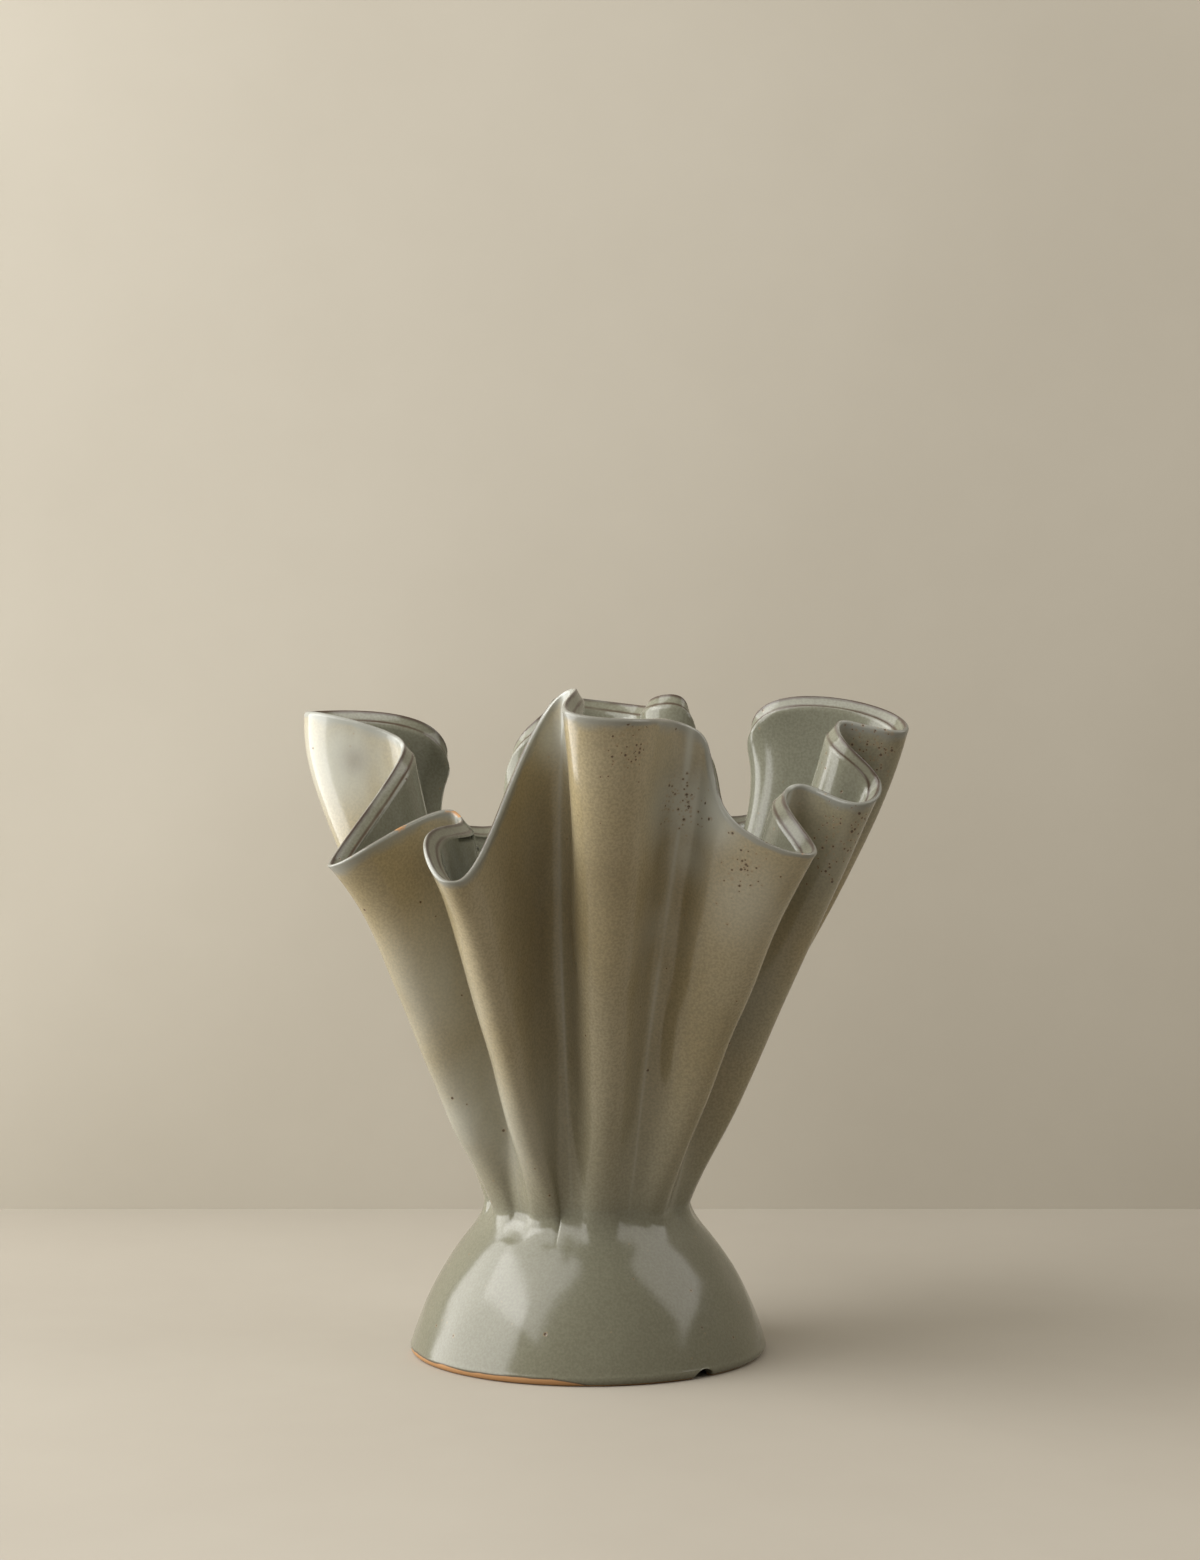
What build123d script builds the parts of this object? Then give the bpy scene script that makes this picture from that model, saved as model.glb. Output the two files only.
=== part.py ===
from build123d import *
import os
from dataclasses import dataclass
from math import cos, radians, sin

# Fan vase of glazed stoneware: a slab gathered into deep pleats, stuck with slip on a hollow foot.
# Millimetres, +Z up, front at -Y. The origin lies on the table, under the middle of the outline.

# Overall sizes
HEIGHT = 305.0  # table to the highest nose of the rim
RIDGE_RADIUS = 128.0  # axis to the middle of the wall on a usual ridge, at the rim
VALLEY_RADIUS = 95.0  # axis to the middle of the wall on a usual valley, at the rim
FOOT_HEIGHT = 61.0  # table to the flat top of the foot
FOOT_RADIUS = 84.6  # foot's side, carried down to the table

# Pleated bowl
WALL = 6.0  # slab thickness
FLOOR = 8.0  # thickness of the bowl's floor
WAIST_RIDGE_RADIUS = 44.0  # middle of the wall on the ridges, at the waist
WAIST_VALLEY_RADIUS = 39.5  # middle of the wall in the valleys, at the waist
WAIST_NOSE = 6.0  # width of a fold's nose at the waist
WAIST_AZIMUTH = 16.0  # where the first fold meets the waist; there the folds are evenly spaced
NOSE_GROWTH = 1.5  # how late the noses widen on their way up
TRUMPET = 1.0  # how far the folds bow inward at half height
RIM_ROUND = 1.8  # radius of the softened outer edge of the rim
RIM_BEVEL = 4.5  # how far the rim's sloping cut falls towards the inside

# Slip joint
SLIP = 0.8  # thickness of the joining slip
SLIP_INNER_RADIUS = 24.0
SLIP_MARGIN = 1.0  # how far the slip stays inside the deepest valley of the bowl's underside

# Flared foot
SHOULDER_MARGIN = 2.5  # how far the foot's top stands outside the bowl's ridges
SHOULDER_ROUND = 3.0
FOOT_DOME = 3.5  # bulge of the foot's side over a straight cone
FOOT_WALL = 8.0
FOOT_TOP = 8.0  # thickness of the foot's closed top
FOOT_EDGE_ROUND = 3.0  # rounded lower outer edge
FOOT_INNER_ROUND = 6.0  # hollow's upper corner
FOOT_LIP_ROUND = 2.0  # hollow's lower edge
NOTCH_WIDTH = 10.0
NOTCH_HEIGHT = 3.2
NOTCH_AZIMUTH = 309.5

# Shares of the wall's height, and of the floor's radius, where the skin has a section
WALL_LEVELS = (0.0, 0.07, 0.16, 0.27, 0.39, 0.51, 0.63, 0.74, 0.83, 0.9, 0.95)
LOWEST_INNER_LEVEL = 0.07
FLOOR_SHARES = (0.9, 0.7, 0.45)
ROUND_ANGLES = (0, 30, 60, 90)  # places round the rim's softened edge
KNOT_LEVEL = 0.85  # level whose chords space the knots of every section
KNOT_POWER = 0.75
LEVEL_STEP = 0.01  # how far apart two levels show the way up the wall
LIP_LEVEL = 0.8  # level where the bulge under the rim is largest
LIP_POWER = 4  # how late that bulge begins


@dataclass
class Fold:
    """One fold of the slab: where its rounded nose lies at the rim, and how it runs to the waist."""

    azimuth: float  # degrees counterclockwise from +X
    reach: float  # mm outside (+) or inside (-) the usual radius of its kind
    drop: float  # mm from the highest rim down to the nose
    nose: float  # mm across the nose
    climb: float = 0  # mm that the rim rises across the nose, counterclockwise
    lip: float = 0  # mm that the wall bulges (+) or hollows (-) just under the rim
    sway: float = 0  # degrees that the fold swings aside at half height
    turn: float = 0  # degrees that the nose is turned out of square with its radius at the rim


# Ridges and valleys take turns, counterclockwise from the right-hand corner
FOLDS = (
    Fold(-2, 13.5, 16, 16, climb=6, lip=5),  # right corner
    Fold(23.5, -7, 16, 18, climb=-18, lip=11, turn=4),
    Fold(51, -11, 58, 35, climb=-4, lip=-2, turn=20),  # back right dip
    Fold(65.5, -3, 5.5, 15.5, lip=2, turn=4),
    Fold(86.5, -1.5, 8, 36.5, climb=4, lip=4, turn=-4),  # back lobe
    Fold(106, 8.5, 21, 17.5, climb=-18, lip=2, turn=-5),
    Fold(116, -3.5, 68.5, 18, lip=-2, turn=-7),  # back left dip
    Fold(135.5, -8.5, 69, 14, climb=6),
    Fold(150, 0, 61.5, 15, climb=12, lip=-2, turn=3),  # back left pleat
    Fold(159.5, -18, 30, 18, climb=24, lip=11, turn=14),
    Fold(174.5, -1, 11, 14, lip=8, turn=20),  # left corner
    Fold(191.5, -8, 26.5, 21.5, climb=-10, lip=1, turn=-2),
    Fold(218, 5.5, 73, 14, climb=6, lip=-6, turn=15),  # left pleat
    Fold(228.5, -9, 55, 12, climb=-4, turn=-16),
    Fold(243, 9, 71.5, 19.5, climb=-16, lip=-3, turn=-32),  # front left dip
    Fold(264, -2, 2, 13.5, climb=6, lip=2, sway=-2, turn=-30),  # the highest point
    Fold(273, 5, 10, 25.5, climb=-3, lip=4, turn=-3),  # front lobe
    Fold(294, 12.5, 16.5, 15, climb=-7, lip=2),
    Fold(308, 0, 61.5, 34, climb=-16, lip=-3, turn=-30),  # front right dip
    Fold(331, 9.5, 45, 19.5, climb=5, turn=-6),
    Fold(340, 5.5, 45, 14, climb=10, turn=-12),  # right pleat
    Fold(349, 22, 16.5, 20, climb=3, lip=2, turn=10),
)

# Heights and radii that follow from the sizes above
BOWL_BASE = FOOT_HEIGHT + SLIP
HALF_WALL = WALL / 2
SHOULDER_RADIUS = WAIST_RIDGE_RADIUS + HALF_WALL + SHOULDER_MARGIN


def lip_share(level):
    """Bulge under the rim: nothing at the waist and rim, 1 at the level of the lip."""
    return level**LIP_POWER * (1 - level) / (LIP_LEVEL**LIP_POWER * (1 - LIP_LEVEL))


def swell(level):
    """A bow that is 0 at the waist and rim and 1 at half height."""
    return 4 * level * (1 - level)


def nose_ends(index, level):
    """The two ends of a fold's nose, on the middle of the wall, at a share of its height."""
    fold = FOLDS[index]
    is_ridge = index % 2 == 0
    rim_radius = (RIDGE_RADIUS if is_ridge else VALLEY_RADIUS) + fold.reach
    waist_radius = WAIST_RIDGE_RADIUS if is_ridge else WAIST_VALLEY_RADIUS
    radius = waist_radius + (rim_radius - waist_radius) * level
    radius += fold.lip * lip_share(level) - TRUMPET * swell(level)
    waist_azimuth = WAIST_AZIMUTH + index * 360 / len(FOLDS)
    azimuth = waist_azimuth + (fold.azimuth - waist_azimuth) * level + fold.sway * swell(level)
    angle = radians(azimuth)
    nose_angle = angle + radians(fold.turn) * level
    outward = Vector(cos(angle), sin(angle))
    along = Vector(-sin(nose_angle), cos(nose_angle))
    half_nose = (WAIST_NOSE + (fold.nose - WAIST_NOSE) * max(level, 0) ** NOSE_GROWTH) / 2
    height = BOWL_BASE + (HEIGHT - fold.drop - BOWL_BASE) * level
    middle = outward * radius + Vector(0, 0, height)
    step = along * half_nose + Vector(0, 0, fold.climb / 2 * level)
    return middle - step, middle + step


def nose_points(level):
    """Nose ends of all the folds at one level, counterclockwise."""
    return [end for index in range(len(FOLDS)) for end in nose_ends(index, level)]


def nose_knots():
    """Knots of the nose ends, shared by every level, so that the folds line up from waist to rim."""
    points = nose_points(KNOT_LEVEL)
    knots = [0.0]
    for start, end in zip(points, points[1:] + points[:1]):
        knots.append(knots[-1] + (end - start).length ** KNOT_POWER)
    return [knot / knots[-1] for knot in knots]


def with_middles(knots):
    """The knots, with one more in the middle of each nose and of each panel between two noses."""
    middles = [(start + end) / 2 for start, end in zip(knots, knots[1:])]
    return sorted(knots + middles)


NOSE_KNOTS = nose_knots()
SKIN_KNOTS = with_middles(NOSE_KNOTS)


def wall_middle(level):
    """The closed curve along the middle of the wall at one level."""
    return Edge.make_spline(nose_points(level), periodic=True, parameters=NOSE_KNOTS)


def wall_frames(level):
    """Points along the middle of the wall, with the level step across it and the way up it."""
    curve = wall_middle(level)
    below = wall_middle(level - LEVEL_STEP)
    above = wall_middle(level + LEVEL_STEP)
    frames = []
    for knot in SKIN_KNOTS[:-1]:
        upward = (above.position_at(knot) - below.position_at(knot)).normalized()
        normal = curve.tangent_at(knot).cross(upward).normalized()
        flat = Vector(normal.X, normal.Y, 0)
        frames.append((curve.position_at(knot), flat / flat.length**2, upward))
    return frames


def skin_wire(points):
    """A smooth closed wire of the skin, through one point for each frame."""
    return Wire([Edge.make_spline(points, periodic=True, parameters=SKIN_KNOTS)])


def skin_section(frames, offset, rise=0.0):
    """The skin's section at an offset from the middle of the wall and a rise above a level."""
    return skin_wire([point + across * offset + upward * rise for point, across, upward in frames])


def rim_profile():
    """Offsets and rises round the rim: a softened outer edge, then the cut sloping inward."""
    crest = HALF_WALL - RIM_ROUND
    steps = []
    for degrees in ROUND_ANGLES:
        angle = radians(degrees)
        steps.append((crest + RIM_ROUND * cos(angle), RIM_ROUND * (sin(angle) - 1)))
    steps.append((RIM_ROUND / 2 - HALF_WALL, -RIM_BEVEL))
    steps.append((-HALF_WALL, -RIM_BEVEL - RIM_ROUND))
    return steps


def make_bowl():
    """The gathered slab: up the outside, over the rim and down the inside to a flat floor."""
    levels = {level: wall_frames(level) for level in WALL_LEVELS}
    outside = [skin_section(frames, HALF_WALL) for frames in levels.values()]
    top = wall_frames(1.0)
    rim = [skin_section(top, offset, rise) for offset, rise in rim_profile()]
    inner_levels = [level for level in reversed(WALL_LEVELS) if level >= LOWEST_INNER_LEVEL]
    inside = [skin_section(levels[level], -HALF_WALL) for level in inner_levels]
    floor_radius = WAIST_VALLEY_RADIUS - HALF_WALL
    floor_height = Vector(0, 0, BOWL_BASE + FLOOR)
    rays = [Vector(point.X, point.Y, 0).normalized() for point, _, _ in levels[0.0]]
    floor = [
        skin_wire([ray * floor_radius * share + floor_height for ray in rays])
        for share in FLOOR_SHARES
    ]
    faces = [Face(outside[0]), Face(floor[-1])]
    faces += Shell.make_loft(outside + rim[:1]).faces()
    faces += Shell.make_loft(rim, ruled=True).faces()
    faces += Shell.make_loft(rim[-1:] + inside + floor).faces()
    return Solid(Shell(faces))


def make_slip_joint():
    """The ring of slip between the bowl's underside and the top of the foot."""
    outer_radius = WAIST_VALLEY_RADIUS + HALF_WALL - SLIP_MARGIN
    ring = Circle(outer_radius) - Circle(SLIP_INNER_RADIUS)
    return extrude(Plane.XY.offset(FOOT_HEIGHT) * ring, SLIP)


def make_foot():
    """The hollow foot: a domed cone with a closed top, open below, with a vent notch."""
    hollow_top = FOOT_HEIGHT - FOOT_TOP
    slope = (FOOT_RADIUS - SHOULDER_RADIUS) / FOOT_HEIGHT
    hollow_radius = SHOULDER_RADIUS + slope * FOOT_TOP - FOOT_WALL
    ring_radius = FOOT_RADIUS - FOOT_WALL
    profile = make_face(
        [
            Line((0, FOOT_HEIGHT), (SHOULDER_RADIUS, FOOT_HEIGHT)),
            SagittaArc((SHOULDER_RADIUS, FOOT_HEIGHT), (FOOT_RADIUS, 0), FOOT_DOME),
            Line((FOOT_RADIUS, 0), (ring_radius, 0)),
            SagittaArc((ring_radius, 0), (hollow_radius, hollow_top), -FOOT_DOME),
            Line((hollow_radius, hollow_top), (0, hollow_top)),
            Line((0, hollow_top), (0, FOOT_HEIGHT)),
        ]
    )
    rounds = (
        (SHOULDER_RADIUS, FOOT_HEIGHT, SHOULDER_ROUND),
        (FOOT_RADIUS, 0, FOOT_EDGE_ROUND),
        (ring_radius, 0, FOOT_LIP_ROUND),
        (hollow_radius, hollow_top, FOOT_INNER_ROUND),
    )
    for x, y, radius in rounds:
        corner = profile.vertices().sort_by_distance((x, y))[0]
        profile = fillet(corner, radius)
    foot = revolve(Plane.XZ * profile, Axis.Z)
    arch_radius = (NOTCH_WIDTH**2 / 4 + NOTCH_HEIGHT**2) / (2 * NOTCH_HEIGHT)
    drill = Plane.YZ * Pos(0, NOTCH_HEIGHT - arch_radius) * Circle(arch_radius)
    notch = extrude(drill, FOOT_RADIUS + FOOT_WALL)
    return foot - Rot(0, 0, NOTCH_AZIMUTH) * notch


def main():
    """Build each piece, bring the middle of the outline over the origin, and write the files."""
    os.makedirs("parts", exist_ok=True)
    pieces = {
        "pleated_bowl": make_bowl(),
        "slip_joint": make_slip_joint(),
        "flared_foot": make_foot(),
    }
    middle = pieces["pleated_bowl"].bounding_box().center()
    for name, piece in pieces.items():
        placed = Pos(-middle.X, -middle.Y) * piece
        export_step(placed, f"parts/{name}.step")
        print(name, "volume", round(placed.volume), "valid", placed.is_valid)


main()
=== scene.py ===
"""Fan vase of glazed stoneware: the visual model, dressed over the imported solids.

A slab gathered into deep pleats stands on a hollow flared foot. The pleated wall is rebuilt as a fine
grid from folds like the solid's, so that the glaze can follow its rim; the foot is turned as a grid too.
"""

import logging
import math
from dataclasses import dataclass, field
from enum import Enum

import bpy
import numpy as np
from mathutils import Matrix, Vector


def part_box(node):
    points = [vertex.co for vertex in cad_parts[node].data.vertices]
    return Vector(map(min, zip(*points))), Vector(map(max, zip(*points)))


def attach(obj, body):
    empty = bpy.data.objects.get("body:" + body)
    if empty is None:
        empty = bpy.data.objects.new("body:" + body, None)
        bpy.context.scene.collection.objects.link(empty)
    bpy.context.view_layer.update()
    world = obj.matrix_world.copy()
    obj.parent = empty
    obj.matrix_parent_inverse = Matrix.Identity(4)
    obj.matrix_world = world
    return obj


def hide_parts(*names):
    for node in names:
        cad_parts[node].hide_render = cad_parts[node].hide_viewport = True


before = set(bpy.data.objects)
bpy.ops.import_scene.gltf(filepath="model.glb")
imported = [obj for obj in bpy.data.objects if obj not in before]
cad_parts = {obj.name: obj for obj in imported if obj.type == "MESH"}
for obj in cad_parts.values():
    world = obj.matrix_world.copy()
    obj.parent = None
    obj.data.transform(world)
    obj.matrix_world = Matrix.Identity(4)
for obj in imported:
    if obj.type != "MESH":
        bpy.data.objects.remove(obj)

log = logging.getLogger("fan_vase")
MM = 0.001
FLAT = np.array([1.0, 1.0, 0.0])
Colour = tuple[float, float, float, float]
Pair = tuple[float, float]
Triple = tuple[float, float, float]
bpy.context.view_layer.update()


class Socket(Enum):
    """Kinds of socket on a shader node group."""

    VALUE = "NodeSocketFloat"
    VECTOR = "NodeSocketVector"


class Skin(Enum):
    """Parts of the bowl's skin, from the waist up the outside, over the rim and down the inside."""

    OUTSIDE = 0
    RIM = 1
    INSIDE = 2
    FLOOR = 3


# Shader tools


@dataclass
class Graph:
    """A node tree with short ways to add and join nodes."""

    tree: bpy.types.NodeTree

    def node(self, kind: str, **settings: object) -> bpy.types.Node:
        """Add a node.

        Args:
            kind: Blender's name of the node type.
            settings: properties to set on the node.

        Returns:
            The new node.
        """
        made = self.tree.nodes.new(kind)
        for name, value in settings.items():
            setattr(made, name, value)
        return made

    def join(self, source: object, target: bpy.types.NodeSocket) -> None:
        """Link a socket to an input, or set the input when the source is a plain value."""
        if isinstance(source, bpy.types.NodeSocket):
            self.tree.links.new(source, target)
        else:
            target.default_value = source

    def math(self, operation: str, a: object, b: object = 0.0, c: object = 0.0) -> bpy.types.NodeSocket:
        """Add a math node.

        Args:
            operation: name of the operation.
            a: first value or socket.
            b: second value or socket.
            c: third value or socket, for the operations that take one.

        Returns:
            The result's socket.
        """
        made = self.node("ShaderNodeMath", operation=operation)
        for source, target in zip((a, b, c), made.inputs):
            self.join(source, target)
        return made.outputs[0]

    def ramp(self, value: object, low: object, high: object) -> bpy.types.NodeSocket:
        """Smooth step: 0 at or under low, 1 at or over high.

        Args:
            value: value or socket to map.
            low: value or socket where the step starts.
            high: value or socket where the step ends.

        Returns:
            The result's socket.
        """
        made = self.node("ShaderNodeMapRange", interpolation_type="SMOOTHSTEP")
        self.join(value, made.inputs["Value"])
        self.join(low, made.inputs["From Min"])
        self.join(high, made.inputs["From Max"])
        return made.outputs["Result"]

    def times(self, a: object, b: object) -> bpy.types.NodeSocket:
        """Multiply two values or sockets."""
        return self.math("MULTIPLY", a, b)

    def fade(self, value: object, low: object, high: object) -> bpy.types.NodeSocket:
        """The smooth step the other way: 1 at or under low, 0 at or over high."""
        return self.math("SUBTRACT", 1.0, self.ramp(value, low, high))

    def mix(self, share: object, a: object, b: object) -> bpy.types.NodeSocket:
        """Mix two colours.

        Args:
            share: value or socket, 0 for the first colour and 1 for the second.
            a: first colour or socket.
            b: second colour or socket.

        Returns:
            The mixed colour's socket.
        """
        made = self.node("ShaderNodeMix", data_type="RGBA")
        self.join(share, made.inputs[0])
        self.join(a, made.inputs[6])
        self.join(b, made.inputs[7])
        return made.outputs[2]

    def noise(self, vector: bpy.types.NodeSocket, scale: float, detail: float = 2.0) -> bpy.types.NodeSocket:
        """Add a noise texture.

        Args:
            vector: place to read the noise at.
            scale: waves per metre.
            detail: number of finer layers.

        Returns:
            The noise's value socket.
        """
        made = self.node("ShaderNodeTexNoise")
        self.join(vector, made.inputs["Vector"])
        made.inputs["Scale"].default_value = scale
        made.inputs["Detail"].default_value = detail
        return made.outputs["Fac"]

    def attribute(self, name: str) -> bpy.types.NodeSocket:
        """Read a value that the mesh stores at its vertices."""
        return self.node("ShaderNodeAttribute", attribute_name=name).outputs["Fac"]


class GroupLibrary:
    """Shader node groups shared by the finishes, each built once."""

    def __init__(self) -> None:
        """Build the groups."""
        self.pool = self._pool()
        self.speckle = self._speckle()
        self.rim_break = self._rim_break()
        self.grain = self._grain()

    @staticmethod
    def _start(name: str, inputs: dict[str, Socket], outputs: dict[str, Socket]) -> tuple[Graph, dict, dict]:
        """Make an empty group.

        Args:
            name: the group's name.
            inputs: input names and kinds.
            outputs: output names and kinds.

        Returns:
            The group's graph, its input sockets by name, and its output sockets by name.
        """
        tree = bpy.data.node_groups.new(name, "ShaderNodeTree")
        for label, kind in inputs.items():
            tree.interface.new_socket(name=label, in_out="INPUT", socket_type=kind.value)
        for label, kind in outputs.items():
            tree.interface.new_socket(name=label, in_out="OUTPUT", socket_type=kind.value)
        graph = Graph(tree)
        entry = graph.node("NodeGroupInput")
        leave = graph.node("NodeGroupOutput")
        return graph, dict(entry.outputs.items()), dict(leave.inputs.items())

    def _pool(self) -> bpy.types.NodeTree:
        """Where the melted glaze lies thicker or thinner: broad clouds and a fine mottle."""
        graph, have, give = self._start(
            "Glaze pool", {"Place": Socket.VECTOR}, {"Cloud": Socket.VALUE, "Mottle": Socket.VALUE}
        )
        stretch = graph.node("ShaderNodeVectorMath", operation="MULTIPLY")
        graph.join(have["Place"], stretch.inputs[0])
        stretch.inputs[1].default_value = (1.0, 1.0, 0.45)
        cloud = graph.noise(stretch.outputs[0], 24.0, 3.0)
        graph.join(graph.ramp(cloud, 0.32, 0.68), give["Cloud"])
        mottle = graph.noise(have["Place"], 900.0, 2.0)
        graph.join(graph.ramp(mottle, 0.3, 0.7), give["Mottle"])
        return graph.tree

    def _speckle(self) -> bpy.types.NodeTree:
        """Iron specks and pinholes: small dots that gather where the share is high."""
        graph, have, give = self._start(
            "Iron speckle",
            {"Place": Socket.VECTOR, "Share": Socket.VALUE},
            {"Spot": Socket.VALUE, "Halo": Socket.VALUE},
        )
        cells = graph.node("ShaderNodeTexVoronoi", feature="F1")
        graph.join(have["Place"], cells.inputs["Vector"])
        cells.inputs["Scale"].default_value = 620.0
        split = graph.node("ShaderNodeSeparateColor")
        graph.join(cells.outputs["Color"], split.inputs[0])
        chosen = graph.math("LESS_THAN", split.outputs[0], have["Share"])
        size = graph.math("MULTIPLY_ADD", graph.math("POWER", split.outputs[1], 3.0), 0.32, 0.22)
        core = graph.times(size, 0.6)
        spot = graph.fade(cells.outputs["Distance"], core, size)
        graph.join(graph.times(spot, chosen), give["Spot"])
        wide = graph.times(size, 2.2)
        halo = graph.fade(cells.outputs["Distance"], size, wide)
        graph.join(graph.times(halo, chosen), give["Halo"])
        return graph.tree

    def _rim_break(self) -> bpy.types.NodeTree:
        """Where the glaze runs thin over the rim's two edges, and lies heavier in a band beside them."""
        graph, have, give = self._start(
            "Rim break",
            {"Place": Socket.VECTOR, "Rim": Socket.VALUE, "Bevel": Socket.VALUE, "Chip": Socket.VALUE},
            {"Line": Socket.VALUE, "Band": Socket.VALUE, "Bare": Socket.VALUE},
        )
        wander = graph.noise(have["Place"], 130.0, 3.0)
        patch = graph.noise(have["Place"], 45.0, 2.0)
        at_crest = graph.math("ABSOLUTE", graph.math("ADD", have["Rim"], -0.4))
        at_inner = graph.math("ABSOLUTE", graph.math("SUBTRACT", have["Rim"], have["Bevel"]))
        reach = graph.math("MULTIPLY_ADD", wander, 2.4, 0.2)
        crest = graph.fade(at_crest, 0.1, reach)
        inner = graph.fade(at_inner, 0.1, reach)
        both = graph.math("MAXIMUM", crest, inner)
        strength = graph.math("MULTIPLY_ADD", graph.ramp(patch, 0.25, 0.55), 0.6, 0.4)
        graph.join(graph.times(both, strength), give["Line"])
        outside = graph.times(have["Rim"], -1.0)
        edge = graph.math("MULTIPLY_ADD", patch, 18.0, 0.5)
        below = graph.fade(outside, graph.times(edge, 0.45), edge)
        outer = graph.fade(have["Rim"], 0.2, 1.4)
        graph.join(graph.times(below, outer), give["Band"])
        chance = graph.times(have["Chip"], 0.3)
        scuff = graph.math("ADD", graph.noise(have["Place"], 190.0, 3.0), chance)
        worn = graph.ramp(scuff, 0.75, 0.82)
        near = graph.fade(at_crest, 1.2, 3.6)
        graph.join(graph.times(worn, near), give["Bare"])
        return graph.tree

    def _grain(self) -> bpy.types.NodeTree:
        """The faint orange-peel of a melted glaze, as a normal."""
        graph, have, give = self._start(
            "Glaze grain", {"Place": Socket.VECTOR, "Pits": Socket.VALUE}, {"Normal": Socket.VECTOR}
        )
        peel = graph.times(graph.noise(have["Place"], 240.0, 2.0), 0.1)
        satin = graph.times(graph.noise(have["Place"], 1500.0, 1.0), 0.05)
        rough = graph.math("ADD", peel, satin)
        height = graph.math("SUBTRACT", rough, graph.times(have["Pits"], 0.5))
        bump = graph.node("ShaderNodeBump")
        bump.inputs["Strength"].default_value = 0.5
        bump.inputs["Distance"].default_value = 0.0006
        graph.join(height, bump.inputs["Height"])
        graph.join(bump.outputs[0], give["Normal"])
        return graph.tree


# Finishes


def new_material(name: str) -> tuple[bpy.types.Material, Graph, bpy.types.Node]:
    """Make a material with one principled shader.

    Args:
        name: the material's name.

    Returns:
        The material, its graph and its principled shader node.
    """
    material = bpy.data.materials.new(name)
    material.use_nodes = True
    graph = Graph(material.node_tree)
    material.node_tree.nodes.clear()
    shader = graph.node("ShaderNodeBsdfPrincipled")
    output = graph.node("ShaderNodeOutputMaterial")
    graph.join(shader.outputs[0], output.inputs["Surface"])
    return material, graph, shader


@dataclass(frozen=True)
class GlazeFinish:
    """Glossy grey-green stoneware glaze that breaks brown over edges, over a tan clay body."""

    olive: Colour = (0.29, 0.237, 0.133, 1.0)
    fawn: Colour = (0.365, 0.32, 0.22, 1.0)
    sage: Colour = (0.185, 0.189, 0.145, 1.0)
    moss: Colour = (0.16, 0.157, 0.112, 1.0)
    # pale: glaze that gathers pale, also used for painted highlights and painted reflections on panels,
    # valley lines and rims
    pale: Colour = (0.45, 0.465, 0.43, 1.0)
    shade: Colour = (0.075, 0.066, 0.043, 1.0)
    steel: Colour = (0.21, 0.215, 0.195, 1.0)
    iron: Colour = (0.06, 0.036, 0.024, 1.0)
    halo: Colour = (0.3, 0.21, 0.12, 1.0)
    clay: Colour = (0.38, 0.2, 0.08, 1.0)
    roughness: float = 0.16
    ior: float = 1.47

    def build(self, name: str, groups: GroupLibrary, bevel: float) -> bpy.types.Material:
        """Make the material.

        Args:
            name: the material's name.
            groups: the shared shader groups.
            bevel: length of the rim's sloping cut in millimetres.

        Returns:
            The material.
        """
        material, graph, shader = new_material(name)
        place = graph.node("ShaderNodeTexCoord").outputs["Object"]
        pool = self._group(graph, groups.pool, Place=place)
        speckle = self._group(graph, groups.speckle, Place=place, Share=graph.attribute("speck"))
        edge_inputs = {"Rim": graph.attribute("rim_mm"), "Chip": graph.attribute("chip"), "Bevel": bevel}
        rim = self._group(graph, groups.rim_break, Place=place, **edge_inputs)
        edge = self._bare_edge(graph, place)
        bare = graph.math("MAXIMUM", rim.outputs["Bare"], graph.ramp(edge, -0.15, 0.15))
        cloud = pool.outputs["Cloud"]
        # Pale layer: painted highlight lines, painted reflections and pale gathering glaze from the stored
        # marks, broken up by the clouds
        pale_pool_and_highlight = graph.times(graph.attribute("pool_and_highlight"), graph.ramp(cloud, -0.6, 0.7))
        colour = graph.mix(graph.times(cloud, 0.55), self.olive, self.fawn)
        layers = (
            (graph.attribute("sage"), 1.0, self.sage),
            (graph.attribute("moss"), 1.0, self.moss),
            (pool.outputs["Mottle"], 0.28, self.shade),
            (rim.outputs["Band"], 0.85, self.steel),
            (pale_pool_and_highlight, 0.9, self.pale),
            (graph.attribute("smudge"), 0.6, self.iron),
            (speckle.outputs["Halo"], 0.4, self.halo),
            (speckle.outputs["Spot"], 0.85, self.iron),
            (rim.outputs["Line"], 0.9, self.iron),
            (graph.ramp(edge, -1.1, -0.2), 0.75, self.iron),
            (bare, 1.0, self.clay),
        )
        for mask, share, layer in layers:
            colour = graph.mix(graph.times(mask, share), colour, layer)
        graph.join(colour, shader.inputs["Base Color"])
        graph.join(graph.math("MULTIPLY_ADD", bare, 0.5, self.roughness), shader.inputs["Roughness"])
        shader.inputs["IOR"].default_value = self.ior
        grain = self._group(graph, groups.grain, Place=place, Pits=speckle.outputs["Spot"])
        graph.join(grain.outputs["Normal"], shader.inputs["Normal"])
        return material

    @staticmethod
    def _group(graph: Graph, tree: bpy.types.NodeTree, **inputs: object) -> bpy.types.Node:
        """Add a shared group and feed its inputs."""
        made = graph.node("ShaderNodeGroup", node_tree=tree)
        for label, source in inputs.items():
            graph.join(source, made.inputs[label])
        return made

    @staticmethod
    def _bare_edge(graph: Graph, place: bpy.types.NodeSocket) -> bpy.types.NodeSocket:
        """How far a place lies past the wavy edge of the glaze, in millimetres."""
        wave = graph.times(graph.math("SUBTRACT", graph.noise(place, 60.0, 2.0), 0.5), 2.4)
        return graph.math("ADD", graph.attribute("bare_mm"), wave)


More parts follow.
